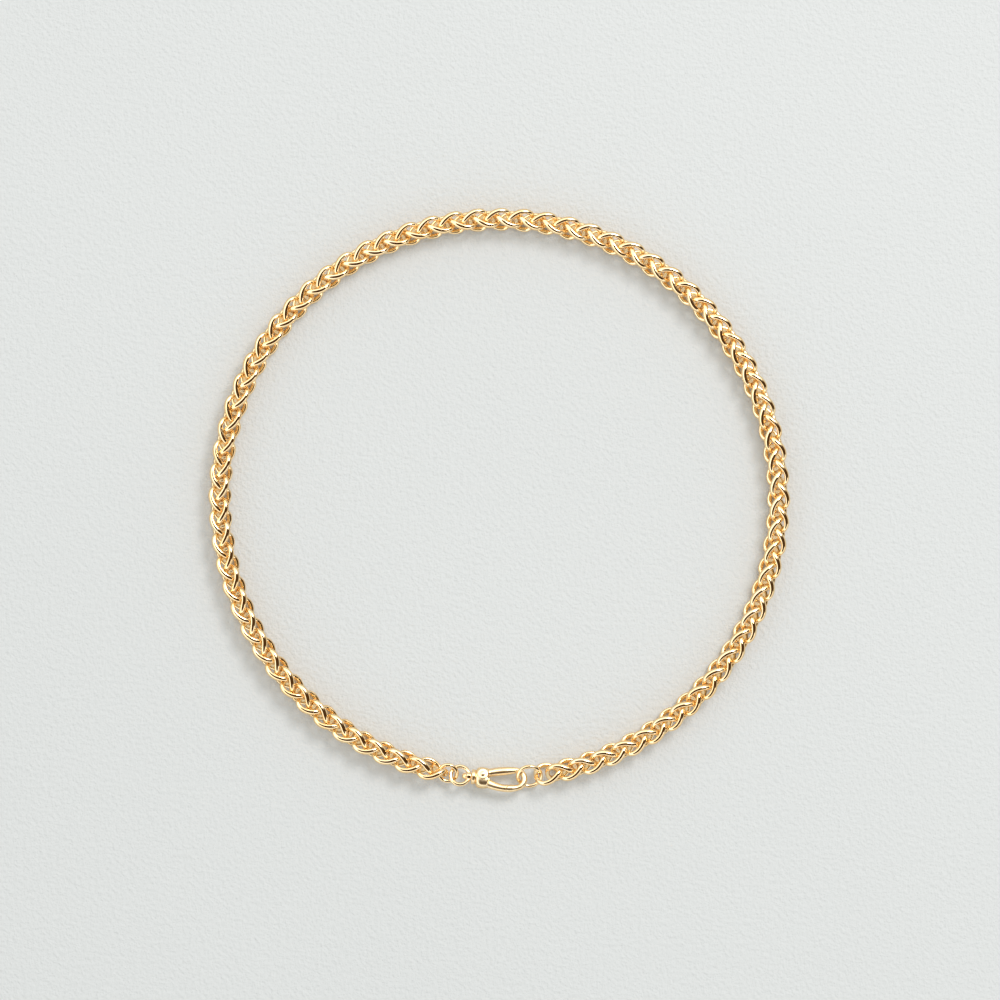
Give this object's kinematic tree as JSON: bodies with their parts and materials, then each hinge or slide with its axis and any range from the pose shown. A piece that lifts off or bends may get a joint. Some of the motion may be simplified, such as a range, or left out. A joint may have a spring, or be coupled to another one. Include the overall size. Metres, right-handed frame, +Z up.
{
  "type": "wheat chain necklace",
  "caption": "Gold wheat chain necklace lying in a round loop, its twisted links interlocked, closed by a swivel hook clasp with a sprung gate.",
  "frame": {"origin": "middle of the whole necklace's outline, on the surface that it lies on", "axes": "+Z up out of the surface, the clasp at the -Y side, the hook's round end towards +X"},
  "size_m": [0.1514, 0.1522, 0.0065],
  "materials": {
    "chain_gold": "polished yellow gold",
    "ring_gold": "polished yellow gold",
    "clasp_gold": "polished yellow gold",
    "pin_gold": "polished yellow gold"
  },
  "bodies": {
    "necklace": {"clasp_body": "clasp_gold", "gate_pin": "pin_gold", "swivel_pin": "pin_gold", "swivel_ring": "ring_gold", "end_ring_small": "ring_gold", "chain_a": "chain_gold", "chain_b": "chain_gold", "end_ring_large": "ring_gold"},
    "gate": {"gate": "clasp_gold"}
  },
  "joints": [
    {"name": "gate_hinge", "type": "hinge", "parent": "necklace", "child": "gate", "pos_m": [-0.00436, -0.07194, 0.00311], "axis": [0.0273, 0.2944, 0.9553], "range_deg": [0, 18], "stiffness_Nm_per_rad": 0.01}
  ]
}
